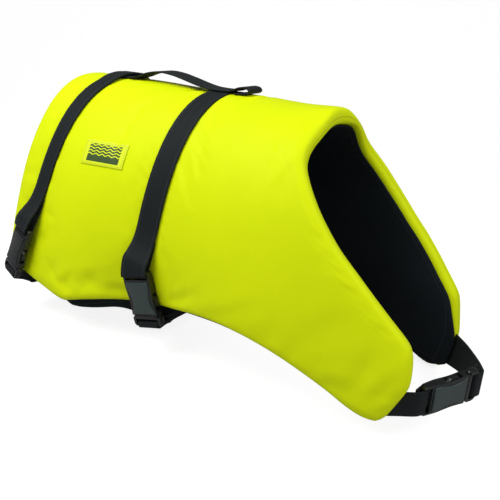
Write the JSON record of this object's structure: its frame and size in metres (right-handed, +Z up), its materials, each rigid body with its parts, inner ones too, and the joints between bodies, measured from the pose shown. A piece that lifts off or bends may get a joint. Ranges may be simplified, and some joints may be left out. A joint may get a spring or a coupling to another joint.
{
  "type": "dog life jacket",
  "caption": "Foam-padded saddle for a dog with dark lining, girth straps with side-release buckles, a chest strap with its own buckle, and a webbing handle along the back.",
  "frame": {"origin": "on the underside of the lining at the middle of the back, midway between the two girth straps, where the worn jacket rests on the dog", "axes": "+X towards the dog's head, +Z up, +Y to the dog's left, so the buckles lie on the -Y flank"},
  "size_m": [0.5032, 0.26, 0.2674],
  "materials": {
    "cover": "bright yellow-green coated cloth, satin",
    "lining": "black cloth, matte",
    "webbing": "black woven webbing, matte",
    "plastic": "dark grey-green moulded plastic, satin",
    "label": "printed patch, matte"
  },
  "bodies": {
    "root": {"padded_saddle": "cover", "lining": "lining", "label": "label", "handle": "webbing", "rear_back_strap": "webbing", "rear_belly_strap": "webbing", "middle_back_strap": "webbing", "middle_belly_strap": "webbing", "chest_strap_near": "webbing", "chest_strap_far": "webbing", "rear_buckle_socket": "plastic", "rear_buckle_prongs": "plastic", "middle_buckle_socket": "plastic", "middle_buckle_prongs": "plastic", "chest_buckle_socket": "plastic", "chest_buckle_prongs": "plastic"}
  },
  "joints": []
}
